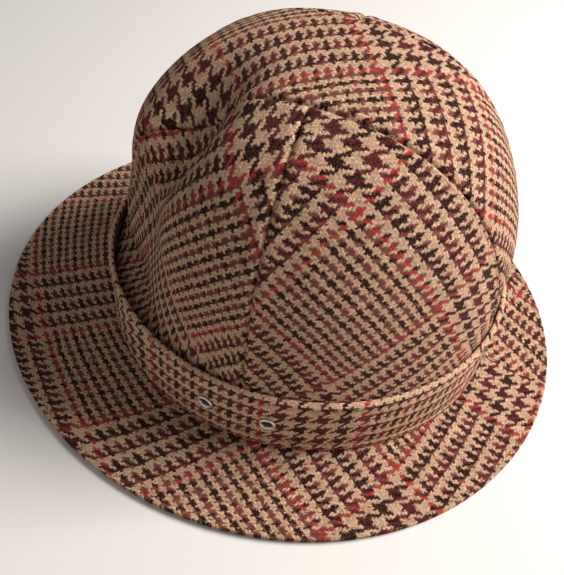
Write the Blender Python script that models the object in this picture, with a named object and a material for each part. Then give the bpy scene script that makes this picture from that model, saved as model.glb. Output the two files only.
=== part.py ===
"""Soft country hat in woollen cloth, cut and sewn: a domed crown made of a centre strip and four side
panels, a band with ventilation eyelets, and a double brim.

Metres, +Z up. The hat stands on its brim at z = 0. The front faces -Y and the wearer's left is +X.
"""

import math

import bmesh
import bpy
import numpy as np

MM = 0.001
ON_AXIS = 1e-9  # keeps the direction defined on the crown's own axis

# Crown: outer cloth surface
CROWN_HALF_WIDTH = 92 * MM
CROWN_HALF_LENGTH = 100 * MM
CROWN_RISE = 153 * MM
CROWN_CENTRE_Y = 13 * MM
CROWN_LEAN = 3 * MM
DOME_POWER = 2.8

# Centre strip: half its width as a share of the crown's half width, on top, at the front and at the back
STRIP_SHARE_TOP = 0.366
STRIP_SHARE_FRONT = 0.2
STRIP_SHARE_BACK = 0.14

# Pinch at the front on the wearer's left
PINCH_CENTRE = (42 * MM, -42 * MM, 140 * MM)
PINCH_PUSH = (-0.45, 0.42, -0.79)
PINCH_DEPTH = 24 * MM
PINCH_LENGTH = 36 * MM
PINCH_WIDTH = 18 * MM
PINCH_REACH = 45 * MM

# Slack in the front left wall, above the sweatband
SLACK_DEPTH = 14 * MM
SLACK_ANGLE = math.radians(-56)
SLACK_SPREAD = math.radians(22)
SLACK_ABOVE_SWEATBAND = 6 * MM
SLACK_RUN = 16 * MM
SLACK_FADE = 72 * MM
SLACK_END = 118 * MM

# Cloths
TWEED = 1.4 * MM
CANVAS = 0.5 * MM
SATIN = 0.3 * MM
GAP = 0.3 * MM
LAYER_GAP = 0.6 * MM
FACET_SAG = 0.0065  # of the crown's half width: clears the flats between a curved cloth's columns

# Brim
BRIM_HALF_WIDTH = 136 * MM
BRIM_HALF_LENGTH = 152.5 * MM
BRIM_EGG = 0.026
BRIM_RISE = 9 * MM
BRIM_FLARE = 1.3
BRIM_REST = 4 * MM
BRIM_SEAM = 4.5 * MM
BRIM_EDGE_ROUND = 0.9 * MM

# Band
BAND_HEIGHT = 40 * MM
BAND_THICKNESS = 2.0 * MM

# Sweatband
SWEATBAND_THICKNESS = 1.2 * MM
SWEATBAND_ABOVE_BRIM = 22 * MM

# Ventilation eyelets
EYELET_SPACING = 30 * MM
EYELET_HEIGHT = 19.5 * MM
EYELET_HOLE_RADIUS = 2.6 * MM
EYELET_BARREL_RADIUS = 3.0 * MM
EYELET_FLANGE_RADIUS = 4.0 * MM
EYELET_METAL = 0.5 * MM
EYELET_ROLL_RADIUS = 3.7 * MM
WASHER_RADIUS = 4.5 * MM
WASHER_THICKNESS = 0.4 * MM

# Grid fineness
RING_STEPS = 60
QUARTER_STEPS = 14
UPRIGHT_ROWS = 2
SLACK_ROWS = 2
DOMED_ROWS = 5
STRIP_CELLS = 6
BRIM_STEPS = 5
EYELET_STEPS = 12
FALL_WEIGHT = 0.7
FINE_STEPS = 400

# Sizes that follow from those above
FACET_GAP = FACET_SAG * CROWN_HALF_WIDTH
BRIM_CLOTH_BOTTOM = 2 * GAP + TWEED + CANVAS
BRIM_STACK = BRIM_CLOTH_BOTTOM + TWEED
CROWN_BASE_Z = BRIM_RISE + BRIM_STACK + GAP
SLACK_START = SWEATBAND_ABOVE_BRIM + SLACK_ABOVE_SWEATBAND
INTERLINING_DEPTH = TWEED + LAYER_GAP
WASHER_DEPTH = INTERLINING_DEPTH + CANVAS + FACET_GAP
ROLL_DEPTH = WASHER_DEPTH + WASHER_THICKNESS + GAP
LINING_DEPTH = ROLL_DEPTH + EYELET_METAL + GAP
SWEATBAND_DEPTH = LINING_DEPTH + SATIN + FACET_GAP
BRIM_INNER_DEPTH = SWEATBAND_DEPTH - GAP
FLANGE_RISE = BAND_THICKNESS + 2 * GAP
CLOTH_HOLE_RADIUS = EYELET_BARREL_RADIUS + GAP

MATERIALS = {
    "tweed_crown": ((0.33, 0.22, 0.16), 0.95, 0.0),
    "tweed_brim": ((0.30, 0.20, 0.15), 0.95, 0.0),
    "tweed_band": ((0.28, 0.18, 0.13), 0.95, 0.0),
    "canvas": ((0.62, 0.57, 0.47), 0.9, 0.0),
    "lining_satin": ((0.10, 0.07, 0.05), 0.45, 0.0),
    "sweatband_cotton": ((0.05, 0.04, 0.035), 0.85, 0.0),
    "eyelet_metal": ((0.72, 0.70, 0.66), 0.25, 1.0),
}


def clear_scene():
    for obj in list(bpy.data.objects):
        bpy.data.objects.remove(obj, do_unlink=True)


def material(name):
    """The Principled material of this name, made on first use."""
    if name in bpy.data.materials:
        return bpy.data.materials[name]
    colour, roughness, metallic = MATERIALS[name]
    made = bpy.data.materials.new(name)
    made.use_nodes = True
    shader = made.node_tree.nodes["Principled BSDF"]
    shader.inputs["Base Color"].default_value = (*colour, 1.0)
    shader.inputs["Roughness"].default_value = roughness
    shader.inputs["Metallic"].default_value = metallic
    made.diffuse_color = (*colour, 1.0)
    return made


def add_object(name, points, faces, material_name):
    """A named mesh object with its faces turned outwards and its round faces shaded smooth."""
    mesh = bpy.data.meshes.new(name)
    grid = bmesh.new()
    corners = [grid.verts.new(point) for point in points]
    for face in faces:
        grid.faces.new([corners[index] for index in face])
    bmesh.ops.recalc_face_normals(grid, faces=grid.faces)
    grid.to_mesh(mesh)
    grid.free()
    mesh.materials.append(material(material_name))
    mesh.shade_smooth()
    mesh.set_sharp_from_angle(angle=math.radians(40))
    obj = bpy.data.objects.new(name, mesh)
    bpy.context.scene.collection.objects.link(obj)
    return obj


def unit(vectors):
    return vectors / np.linalg.norm(vectors, axis=-1, keepdims=True)


def smooth_step(value):
    """0 below 0, 1 above 1, and 3v^2 - 2v^3 between."""
    held = np.clip(value, 0.0, 1.0)
    return held * held * (3.0 - 2.0 * held)


# Crown surface


def dome(rays):
    """Points of the crown before its dents, one for each ray (x, y, z) from the middle of its base.

    In shares of half width, half length and rise, |z|^p + (x^2 + y^2)^(p/2) = 1.
    """
    level = np.hypot(rays[..., 0], rays[..., 1])
    reach = (np.abs(rays[..., 2]) ** DOME_POWER + level**DOME_POWER) ** (-1.0 / DOME_POWER)
    shares = rays * reach[..., None]
    return np.stack(
        [
            CROWN_HALF_WIDTH * shares[..., 0],
            CROWN_CENTRE_Y + CROWN_HALF_LENGTH * shares[..., 1] + CROWN_LEAN * shares[..., 2],
            CROWN_BASE_Z + CROWN_RISE * shares[..., 2],
        ],
        axis=-1,
    )


def pinch(points):
    """How far the front left pinch moves each point: a bell pressed along PINCH_PUSH.

    PINCH_REACH ends the bell before it would reach the far side of the crown.
    """
    push = unit(np.array(PINCH_PUSH))
    across = unit(np.cross(push, (0.0, 0.0, 1.0)))
    along = np.cross(across, push)
    offset = points - np.array(PINCH_CENTRE)
    spread = (offset @ across / PINCH_WIDTH) ** 2 + (offset @ along / PINCH_LENGTH) ** 2
    spread += (offset @ push / PINCH_REACH) ** 2
    return PINCH_DEPTH * np.exp(-spread)[..., None] * push


def slack(points):
    """How far the slack front left wall moves each point: level and inwards.

    It sets in over SLACK_RUN from SLACK_START above the crown's base, and dies away between
    SLACK_FADE and SLACK_END.
    """
    level = points[..., :2] - np.array((0.0, CROWN_CENTRE_Y))
    angle = np.arctan2(level[..., 1], level[..., 0])
    turned = np.exp(-(((angle - SLACK_ANGLE) / SLACK_SPREAD) ** 2))
    height = points[..., 2] - CROWN_BASE_Z
    raised = smooth_step((height - SLACK_START) / SLACK_RUN)
    raised *= 1.0 - smooth_step((height - SLACK_FADE) / (SLACK_END - SLACK_FADE))
    moved = np.zeros_like(points)
    moved[..., :2] = -unit(level + ON_AXIS) * (SLACK_DEPTH * turned * raised)[..., None]
    return moved


def crown_surface(rays):
    points = dome(rays)
    return points + pinch(points) + slack(points)


def crown_normals(rays):
    """Outward unit normals of the dented crown, from two small steps either side of each ray."""
    step = 0.002
    rays = unit(rays)
    helper = np.where(np.abs(rays[..., 2:]) < 0.7, (0.0, 0.0, 1.0), (1.0, 0.0, 0.0))
    first = unit(np.cross(rays, helper))
    second = np.cross(rays, first)
    along_first = crown_surface(rays + step * first) - crown_surface(rays - step * first)
    along_second = crown_surface(rays + step * second) - crown_surface(rays - step * second)
    return unit(np.cross(along_first, along_second))


def seam_angles(end):
    """Angles along the strip from the side seam (0) to one end (a quarter turn): -1 front, +1 back.

    They are even steps of the seam's turn round the crown plus its fall, the fall weighted by
    FALL_WEIGHT, so that neither the panels' columns nor the seam's last drop is coarse.
    """
    fine = np.linspace(0.0, math.pi / 2, FINE_STEPS)
    turn = np.arctan2(np.sin(fine), strip_share(end * fine))
    track = turn / turn[-1] + FALL_WEIGHT * (1.0 - np.cos(fine))
    return np.interp(np.linspace(0.0, track[-1], QUARTER_STEPS + 1), track, fine)


def strip_share(angles):
    """Half the strip's width at these angles, as a share of the crown's half width."""
    at_end = np.where(angles < 0.0, STRIP_SHARE_FRONT, STRIP_SHARE_BACK)
    return at_end + (STRIP_SHARE_TOP - at_end) * np.cos(angles)


def grid_faces(rows, columns):
    """Triangles over a grid of rows x columns points, stored row by row.

    Every quad is cut along the same diagonal, so the cloths stay parallel where they bend.
    """
    first = (np.arange(rows - 1)[:, None] * columns + np.arange(columns - 1)).reshape(-1)
    opposite = first + columns + 1
    lower = np.stack([first, first + 1, opposite], axis=1)
    upper = np.stack([first, opposite, first + columns], axis=1)
    return np.concatenate([lower, upper])


def strip_patch(seam_gap):
    """Rays and faces of the centre strip, drawn in by half the seam gap at both edges."""
    angles = np.concatenate([-seam_angles(-1)[:0:-1], seam_angles(1)])[:, None]
    across = np.linspace(-1.0, 1.0, STRIP_CELLS + 1)[None, :]
    share = strip_share(angles) - seam_gap / 2 / CROWN_HALF_WIDTH
    rays = np.stack(
        [share * across, np.sin(angles) + 0.0 * across, np.cos(angles) + 0.0 * across], axis=-1
    )
    rays[[0, -1], :, 2] = 0.0
    return rays.reshape(-1, 3), grid_faces(*rays.shape[:2])


def side_patch(side, end, seam_gap):
    """Rays and faces of a side panel: side is +1 on the wearer's left, end is -1 at the front.

    Its columns stand from the base up to the strip's seam, and the last has no height. The first
    rows reach to where the slack starts, so the wall below it stays upright, and the next ones to
    where it has set in.
    """
    angles = seam_angles(end)
    share = strip_share(end * angles) + seam_gap / 2 / CROWN_HALF_WIDTH
    turn = np.arctan2(np.sin(angles), share)
    turn[0] = seam_gap / 2 / CROWN_HALF_WIDTH
    level = np.hypot(share, np.sin(angles))
    top = np.cos(angles) * (np.cos(angles) ** DOME_POWER + level**DOME_POWER) ** (-1.0 / DOME_POWER)
    top[-1] = 0.0
    low_rows = UPRIGHT_ROWS + SLACK_ROWS
    rows = low_rows + DOMED_ROWS
    upright = np.minimum(SLACK_START / CROWN_RISE, top * UPRIGHT_ROWS / rows)
    slackened = np.minimum((SLACK_START + SLACK_RUN) / CROWN_RISE, top * low_rows / rows)
    lower = np.linspace(0.0, upright, UPRIGHT_ROWS, endpoint=False)
    middle = np.linspace(upright, slackened, SLACK_ROWS, endpoint=False)
    height = np.concatenate([lower, middle, np.linspace(slackened, top, DOMED_ROWS + 1)])
    radius = (1.0 - height**DOME_POWER) ** (1.0 / DOME_POWER)
    rays = np.stack([side * radius * np.cos(turn), end * radius * np.sin(turn), height], axis=-1)
    faces = grid_faces(*rays.shape[:2])
    return rays.reshape(-1, 3), faces if side * end > 0 else faces[:, ::-1]


def joined(patches):
    """One patch from several: rays that coincide become one, and faces that collapse are dropped."""
    rays = np.concatenate([patch[0] for patch in patches])
    starts = np.cumsum([0] + [len(patch[0]) for patch in patches])
    faces = np.concatenate([patch[1] + start for patch, start in zip(patches, starts)])
    _, first, index = np.unique(
        np.round(unit(rays), 6) + 0.0, axis=0, return_index=True, return_inverse=True
    )
    welded = index.reshape(-1)[faces].tolist()
    return rays[first], [face for face in welded if len(set(face)) == 3]


def crown_layer(name, patches, depth, thickness, material_name):
    """A closed sheet of cloth under the crown's surface, from depth to depth + thickness."""
    rays, faces = joined(patches)
    points = crown_surface(rays)
    normals = crown_normals(rays)
    count = len(rays)
    edges = {(face[i - 1], corner) for face in faces for i, corner in enumerate(face)}
    rim = sorted((a, b) for a, b in edges if (b, a) not in edges)
    walls = [[b, a, a + count, b + count] for a, b in rim]
    inner = [[index + count for index in reversed(face)] for face in faces]
    solid = np.concatenate([points - depth * normals, points - (depth + thickness) * normals])
    return add_object(name, solid, faces + inner + walls, material_name)


# Rings around the head


def head_oval(angle, depth, height=0.0):
    """The crown's undented outline at a height above its base, drawn in by depth."""
    share = max(height, 0.0) / CROWN_RISE
    radius = (1.0 - share**DOME_POWER) ** (1.0 / DOME_POWER)
    return np.stack(
        [
            (CROWN_HALF_WIDTH * radius - depth) * np.cos(angle),
            CROWN_CENTRE_Y + CROWN_LEAN * share + (CROWN_HALF_LENGTH * radius - depth) * np.sin(angle),
        ],
        axis=-1,
    )


def brim_outline(angle):
    """The brim's edge: an ellipse whose front half is a little narrower."""
    narrowing = 1.0 + BRIM_EGG * np.sin(angle)
    return np.stack(
        [BRIM_HALF_WIDTH * narrowing * np.cos(angle), BRIM_HALF_LENGTH * np.sin(angle)], axis=-1
    )


def ring_solid(name, loops, material_name):
    """A closed ring: loops are the closed profile's corners in order, each carried round the head."""
    points = np.concatenate(loops)
    corners = np.arange(RING_STEPS)
    following = (corners + 1) % RING_STEPS
    faces = []
    for index in range(len(loops)):
        start = index * RING_STEPS
        after = (index + 1) % len(loops) * RING_STEPS
        faces.append(
            np.stack([start + corners, start + following, after + following, after + corners], axis=1)
        )
    return add_object(name, points, np.concatenate(faces).tolist(), material_name)


def ring_angles():
    return np.arange(RING_STEPS) * 2.0 * math.pi / RING_STEPS


def brim_under_height(from_edge, width):
    """Height of the brim's lower face: flat on its rest at the edge, then rising to the crown."""
    climb = np.clip((from_edge - BRIM_REST) / (width - BRIM_REST), 0.0, 1.0)
    return BRIM_RISE * climb**BRIM_FLARE


def brim_loop(from_edge, share, above):
    """One corner of a brim profile, carried round.

    It lies from_edge inside the brim's edge and share of the remaining way in to the brim's inner
    edge, at a height of above over the brim's lower face.
    """
    angle = ring_angles()
    outer = brim_outline(angle)
    inner = head_oval(angle, BRIM_INNER_DEPTH)
    width = np.linalg.norm(outer - inner, axis=-1)
    distance = from_edge + share * (width - from_edge)
    level = outer + (inner - outer) * (distance / width)[:, None]
    return np.concatenate([level, (brim_under_height(distance, width) + above)[:, None]], axis=-1)


def inward_run(from_edge, above):
    """Corners along a brim face, from from_edge inside the brim's edge in to its inner edge."""
    return [brim_loop(from_edge, step / BRIM_STEPS, above) for step in range(BRIM_STEPS + 1)]


def add_brim():
    under_edge = BRIM_EDGE_ROUND / 3
    lower = [brim_loop(under_edge, 0.0, 0.0)] + inward_run(BRIM_REST, 0.0)
    upper = inward_run(BRIM_REST, TWEED)[::-1] + [brim_loop(under_edge, 0.0, TWEED)]
    ring_solid("brim_under", lower + upper, "tweed_brim")

    canvas_bottom = TWEED + GAP
    canvas_edge = BRIM_SEAM + 2 * GAP
    canvas = inward_run(canvas_edge, canvas_bottom)
    canvas += inward_run(canvas_edge, canvas_bottom + CANVAS)[::-1]
    ring_solid("brim_interlining", canvas, "canvas")

    lip = [
        brim_loop(BRIM_SEAM, 0.0, TWEED + GAP),
        brim_loop(BRIM_EDGE_ROUND, 0.0, TWEED + GAP),
        brim_loop(0.0, 0.0, TWEED + GAP + BRIM_EDGE_ROUND),
        brim_loop(BRIM_EDGE_ROUND, 0.0, BRIM_STACK - BRIM_EDGE_ROUND / 3),
    ]
    face = inward_run(BRIM_REST, BRIM_STACK)
    underside = inward_run(BRIM_SEAM + GAP, BRIM_CLOTH_BOTTOM)[::-1]
    ring_solid("brim_top", lip + face + underside, "tweed_brim")


def wall_loop(depth, height):
    """A corner of an upright ring, depth inside the crown's outline and height above its base."""
    level = head_oval(ring_angles(), depth, height)
    return np.concatenate([level, np.full((RING_STEPS, 1), CROWN_BASE_Z + height)], axis=-1)


def add_band():
    inner = -GAP
    outer = -GAP - BAND_THICKNESS
    middle = (inner + outer) / 2
    rounding = BAND_THICKNESS / 4
    return ring_solid(
        "hat_band",
        [
            wall_loop(inner, 0.0),
            wall_loop(outer, 0.0),
            wall_loop(outer, BAND_HEIGHT / 2),
            wall_loop(outer, BAND_HEIGHT - rounding),
            wall_loop(middle, BAND_HEIGHT),
            wall_loop(inner, BAND_HEIGHT - rounding),
            wall_loop(inner, BAND_HEIGHT / 2),
        ],
        "tweed_band",
    )


def add_sweatband():
    below = BRIM_RISE - CROWN_BASE_Z
    inner = SWEATBAND_DEPTH + SWEATBAND_THICKNESS
    ring_solid(
        "sweatband",
        [
            wall_loop(inner, below),
            wall_loop(SWEATBAND_DEPTH, below),
            wall_loop(SWEATBAND_DEPTH, SWEATBAND_ABOVE_BRIM),
            wall_loop(inner, SWEATBAND_ABOVE_BRIM),
        ],
        "sweatband_cotton",
    )


# Eyelets


def eyelet_places():
    """Name, point on the crown's outer surface, outward direction, and the two cloths around it."""
    angle = EYELET_SPACING / 2 / CROWN_HALF_LENGTH
    places = []
    for side, side_name in ((1, "left"), (-1, "right")):
        for end, end_name in ((-1, "front"), (1, "back")):
            level = head_oval(np.array(end * angle), 0.0)
            outward = np.array((math.cos(angle) / CROWN_HALF_WIDTH, end * math.sin(angle) / CROWN_HALF_LENGTH))
            outward /= np.linalg.norm(outward)
            point = (side * level[0], level[1], CROWN_BASE_Z + EYELET_HEIGHT)
            places.append((f"{end_name}_{side_name}", point, (side * outward[0], outward[1])))
    return places


def turned(name, profile, point, outward, material_name):
    """A ring turned about the outward direction; the profile is (radius, distance outwards)."""
    angle = np.arange(EYELET_STEPS) * 2.0 * math.pi / EYELET_STEPS
    out = np.array((outward[0], outward[1], 0.0))
    side = np.array((-outward[1], outward[0], 0.0))
    up = np.array((0.0, 0.0, 1.0))
    round_the_axis = np.cos(angle)[:, None] * side + np.sin(angle)[:, None] * up
    points = [np.array(point) + radius * round_the_axis + distance * out for radius, distance in profile]
    corners = np.arange(EYELET_STEPS)
    following = (corners + 1) % EYELET_STEPS
    faces = []
    for index in range(len(profile)):
        start = index * EYELET_STEPS
        after = (index + 1) % len(profile) * EYELET_STEPS
        faces.append(
            np.stack([start + corners, start + following, after + following, after + corners], axis=1)
        )
    return add_object(name, np.concatenate(points), np.concatenate(faces).tolist(), material_name)


def add_eyelet(name, point, outward):
    hole = EYELET_HOLE_RADIUS
    barrel = EYELET_BARREL_RADIUS
    flange_top = FLANGE_RISE + EYELET_METAL
    flange_inner = (hole + EYELET_FLANGE_RADIUS) / 2
    profile = [
        (hole, -ROLL_DEPTH - EYELET_METAL),
        (EYELET_ROLL_RADIUS, -ROLL_DEPTH - EYELET_METAL),
        (EYELET_ROLL_RADIUS, -ROLL_DEPTH),
        (barrel, -ROLL_DEPTH),
        (barrel, FLANGE_RISE),
        (EYELET_FLANGE_RADIUS, FLANGE_RISE),
        (EYELET_FLANGE_RADIUS - EYELET_METAL / 2, flange_top),
        (flange_inner, flange_top + EYELET_METAL / 2),
        (hole, FLANGE_RISE),
    ]
    turned("eyelet_" + name, profile, point, outward, "eyelet_metal")


def add_washer(name, point, outward):
    inner = CLOTH_HOLE_RADIUS
    face = -WASHER_DEPTH
    back = -WASHER_DEPTH - WASHER_THICKNESS
    profile = [(inner, back), (WASHER_RADIUS, back), (WASHER_RADIUS, face), (inner, face)]
    turned("eyelet_washer_" + name, profile, point, outward, "eyelet_metal")


def cut_eyelet_hole(name, point, outward, cloths):
    """Cuts the hole for an eyelet's barrel in each of these cloths."""
    reach = 2 * (FLANGE_RISE + LINING_DEPTH)
    bpy.ops.mesh.primitive_cylinder_add(
        vertices=EYELET_STEPS,
        radius=CLOTH_HOLE_RADIUS,
        depth=reach,
        location=point,
        rotation=(math.pi / 2, 0.0, math.atan2(outward[1], outward[0]) + math.pi / 2),
    )
    cutter = bpy.context.object
    cutter.name = "cutter_" + name
    cutter.display_type = "WIRE"
    cutter.hide_render = True
    for cloth in cloths:
        modifier = cloth.modifiers.new("hole_" + name, "BOOLEAN")
        modifier.operation = "DIFFERENCE"
        modifier.object = cutter


def add_crown():
    """The outer panels, the interlining and the lining, and the panels that the eyelets pass through."""
    crown_layer("crown_centre_strip", [strip_patch(GAP)], 0.0, TWEED, "tweed_crown")
    crown_layer("lining_centre_strip", [strip_patch(GAP)], LINING_DEPTH, SATIN, "lining_satin")
    whole = [strip_patch(0.0)]
    panels = {}
    for side, side_name in ((1, "left"), (-1, "right")):
        for end, end_name in ((-1, "front"), (1, "back")):
            place = f"{end_name}_{side_name}"
            patch = side_patch(side, end, GAP)
            panels[place] = crown_layer("crown_side_" + place, [patch], 0.0, TWEED, "tweed_crown")
            crown_layer("lining_side_" + place, [patch], LINING_DEPTH, SATIN, "lining_satin")
            whole.append(side_patch(side, end, 0.0))
    interlining = crown_layer("crown_interlining", whole, INTERLINING_DEPTH, CANVAS, "canvas")
    return panels, interlining


def main():
    clear_scene()
    panels, interlining = add_crown()
    add_brim()
    add_sweatband()
    band = add_band()
    for name, point, outward in eyelet_places():
        add_eyelet(name, point, outward)
        add_washer(name, point, outward)
        cut_eyelet_hole(name, point, outward, [band, panels[name], interlining])


main()
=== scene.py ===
# %% [markdown]
# # A soft tweed hat
# This lesson dresses a hat in cloth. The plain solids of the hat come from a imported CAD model, which
# fixes every size and place. Here each cloth gets its own finely curved surface, its own weave and its
# own stitches. Every surface is worked out with numpy, as points on a grid of two parameters.

# %% Load the frame
import math

import bmesh
import bpy
import numpy as np
from mathutils import Matrix, Vector


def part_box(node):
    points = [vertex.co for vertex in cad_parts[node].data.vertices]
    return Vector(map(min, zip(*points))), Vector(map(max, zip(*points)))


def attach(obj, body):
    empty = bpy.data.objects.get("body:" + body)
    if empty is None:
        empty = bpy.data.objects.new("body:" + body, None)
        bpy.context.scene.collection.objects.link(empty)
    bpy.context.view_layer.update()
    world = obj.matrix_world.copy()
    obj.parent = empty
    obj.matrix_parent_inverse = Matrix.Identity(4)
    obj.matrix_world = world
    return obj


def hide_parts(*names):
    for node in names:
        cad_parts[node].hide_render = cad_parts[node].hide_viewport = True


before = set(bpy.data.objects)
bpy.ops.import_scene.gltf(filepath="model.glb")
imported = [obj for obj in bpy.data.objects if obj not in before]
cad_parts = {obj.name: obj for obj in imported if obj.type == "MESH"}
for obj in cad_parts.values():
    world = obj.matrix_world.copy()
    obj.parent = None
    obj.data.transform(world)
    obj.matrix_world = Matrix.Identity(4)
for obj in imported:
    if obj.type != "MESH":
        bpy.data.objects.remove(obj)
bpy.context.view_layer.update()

MM = 0.001

# %% [markdown]
# ## Sizes
# The crown, the band and the brim were settled in CAD, so their sizes are read from the boxes of the
# CAD nodes. The rest are the cloths' own thicknesses, which the boxes don't show.

# %% Sizes read from the frame
strip_low, strip_high = (np.array(corner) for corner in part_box("crown_centre_strip"))
brim_low, brim_high = (np.array(corner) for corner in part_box("brim_top"))
band_low, band_high = (np.array(corner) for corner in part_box("hat_band"))
sweatband_low, sweatband_high = (np.array(corner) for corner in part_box("sweatband"))

CROWN_HALF_WIDTH = -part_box("crown_side_back_right")[0].x
CROWN_HALF_LENGTH = (strip_high[1] - strip_low[1]) / 2
CROWN_CENTRE_Y = (strip_high[1] + strip_low[1]) / 2
CROWN_BASE_Z = strip_low[2]
CROWN_RISE = strip_high[2] - strip_low[2]
BRIM_HALF_WIDTH = (brim_high[0] - brim_low[0]) / 2
BRIM_HALF_LENGTH = (brim_high[1] - brim_low[1]) / 2
BRIM_RISE = sweatband_low[2]
BAND_HEIGHT = band_high[2] - band_low[2]
SWEATBAND_HEIGHT = sweatband_high[2] - sweatband_low[2]
print("crown", CROWN_HALF_WIDTH, CROWN_HALF_LENGTH, CROWN_RISE, "band", BAND_HEIGHT)

# %% The cloths' thicknesses, and the gaps between them
TWEED = 1.4 * MM
CANVAS = 0.5 * MM
SATIN = 0.3 * MM
GAP = 0.3 * MM
INTERLINING_DEPTH = 2.0 * MM
LINING_DEPTH = 4.6 * MM
SWEATBAND_DEPTH = 5.5 * MM
SWEATBAND_THICKNESS = 1.2 * MM
BAND_THICKNESS = 2.0 * MM

# %% [markdown]
# ## The crown's shape
# A soft crown is a dome with a flattened top. A superellipsoid gives it in one formula: its power says
# how square its shoulders are. Two soft moves then dent it. The pinch is where fingers have pressed the
# front left of the crown in, and the slack is the wall below it, which has sunk inwards behind the band.

# %% Sizes of the dome and its dents
DOME_POWER = 2.8
CROWN_LEAN = 3 * MM
STRIP_SHARE_TOP = 0.366
STRIP_SHARE_FRONT = 0.2
STRIP_SHARE_BACK = 0.14

PINCH_CENTRE = (42 * MM, -42 * MM, 140 * MM)
PINCH_PUSH = (-0.45, 0.42, -0.79)
PINCH_DEPTH = 24 * MM
PINCH_LENGTH = 36 * MM
PINCH_WIDTH = 18 * MM
PINCH_REACH = 45 * MM

SLACK_DEPTH = 14 * MM
SLACK_ANGLE = math.radians(-56)
SLACK_SPREAD_FRONT = math.radians(22)
SLACK_SPREAD_BACK = math.radians(24)
SLACK_START = 27 * MM
SLACK_RUN = 16 * MM
SLACK_FADE = 72 * MM
SLACK_END = 118 * MM


# %% The dome, and small helpers for directions
def unit(vectors):
    """Each vector divided by its own length."""
    return vectors / np.linalg.norm(vectors, axis=-1, keepdims=True)


def smooth_step(value):
    """0 below 0, 1 above 1, and three squares less two cubes of the value between."""
    held = np.clip(value, 0.0, 1.0)
    return held * held * (3.0 - 2.0 * held)


def bell(value):
    """A bell curve: 1 at 0, falling as e to minus the square of the value."""
    return np.exp(-(value**2))


def dome(rays):
    """The undented crown along each ray from the middle of its base.

    In shares of half width, half length and rise, |z|^p + (x^2 + y^2)^(p/2) = 1.
    """
    level = np.hypot(rays[..., 0], rays[..., 1])
    reach = (np.abs(rays[..., 2]) ** DOME_POWER + level**DOME_POWER) ** (-1.0 / DOME_POWER)
    shares = rays * reach[..., None]
    return np.stack(
        [
            CROWN_HALF_WIDTH * shares[..., 0],
            CROWN_CENTRE_Y + CROWN_HALF_LENGTH * shares[..., 1] + CROWN_LEAN * shares[..., 2],
            CROWN_BASE_Z + CROWN_RISE * shares[..., 2],
        ],
        axis=-1,
    )


# %% The pinch and the slack
def pinch(points):
    """The depth of the pinch times a bell of the distance across, along and through it, pushed inwards."""
    push = unit(np.array(PINCH_PUSH))
    across = unit(np.cross(push, (0.0, 0.0, 1.0)))
    along = np.cross(across, push)
    offset = points - np.array(PINCH_CENTRE)
    sizes = (PINCH_WIDTH, PINCH_LENGTH, PINCH_REACH)
    spread = sum((offset @ way / size) ** 2 for way, size in zip((across, along, push), sizes))
    return PINCH_DEPTH * np.exp(-spread)[..., None] * push


def slack(points):
    """A level move towards the crown's axis.

    It is a bell of the angle round the crown, wider towards the back, times a rise over SLACK_RUN from
    SLACK_START and a fall from SLACK_FADE to SLACK_END.
    """
    level = points[..., :2] - np.array((0.0, CROWN_CENTRE_Y))
    turn = np.arctan2(level[..., 1], level[..., 0]) - SLACK_ANGLE
    turned = bell(turn / np.where(turn < 0.0, SLACK_SPREAD_FRONT, SLACK_SPREAD_BACK))
    height = points[..., 2] - CROWN_BASE_Z
    raised = smooth_step((height - SLACK_START) / SLACK_RUN)
    raised = raised * (1.0 - smooth_step((height - SLACK_FADE) / (SLACK_END - SLACK_FADE)))
    moved = np.zeros_like(points)
    moved[..., :2] = -unit(level + 1e-9) * (SLACK_DEPTH * turned * raised)[..., None]
    return moved


# %% [markdown]
# Real cloth is never a perfect formula. A few plane waves in random directions, added together, make
# gentle hollows and swellings. The seed fixes the draw, so the hat comes out the same every time.


# %% Waves for soft unevenness
def waves(points, wavelength, seed, count=7):
    """The mean of plane waves of about one wavelength, in random directions and phases, from -1 to 1."""
    rng = np.random.default_rng(seed)
    ways = unit(rng.normal(size=(count, points.shape[-1])))
    pitch = wavelength * rng.uniform(0.7, 1.4, count)
    phase = rng.uniform(0.0, 2.0 * math.pi, count)
    return np.sin(points @ ways.T * (2.0 * math.pi / pitch) + phase).mean(axis=-1) * 1.6


CREASE_DEPTH = 1.1 * MM
CREASE_WAVELENGTH = 70 * MM


def crown_surface(rays):
    """The dome with its pinch, its slack and a little unevenness that dies away at the base."""
    points = dome(rays)
    height = (points[..., 2] - CROWN_BASE_Z) / CROWN_RISE
    uneven = CREASE_DEPTH * waves(points, CREASE_WAVELENGTH, 4) * smooth_step(height / 0.4)
    outward = unit(points - np.array((0.0, CROWN_CENTRE_Y, CROWN_BASE_Z)))
    return points + pinch(points) + slack(points) + outward * uneven[..., None]


# %% [markdown]
# ## Turning grids into meshes
# A cloth is a thin shell: an outer grid, an inner grid a little below it, and a narrow wall along every
# open edge. The same function makes them all. Each vertex also carries its place on the flat cloth,
# in metres, as a UV map. The weave is drawn from that map, so it follows the cloth and not the room.


# %% Grid helpers
def walk(points, axis):
    """The distance walked along the grid from its first line, on one axis."""
    steps = np.linalg.norm(np.diff(points, axis=axis), axis=-1)
    start = np.zeros_like(np.take(steps, [0], axis=axis))
    return np.concatenate([start, np.cumsum(steps, axis=axis)], axis=axis)


def quads(rows, columns, wrap):
    """Corner numbers of the quads of a grid, and of the same quads on its UV grid, which never wraps."""
    across = columns if wrap else columns - 1
    r, c = np.meshgrid(np.arange(rows - 1), np.arange(across), indexing="ij")
    r, c = r.ravel(), c.ravel()
    corners = [(r, c), (r, c + 1), (r + 1, c + 1), (r + 1, c)]
    width = columns + 1 if wrap else columns
    faces = np.stack([i * columns + j % columns for i, j in corners], axis=1)
    flat = np.stack([i * width + j for i, j in corners], axis=1)
    return faces, flat


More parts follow.
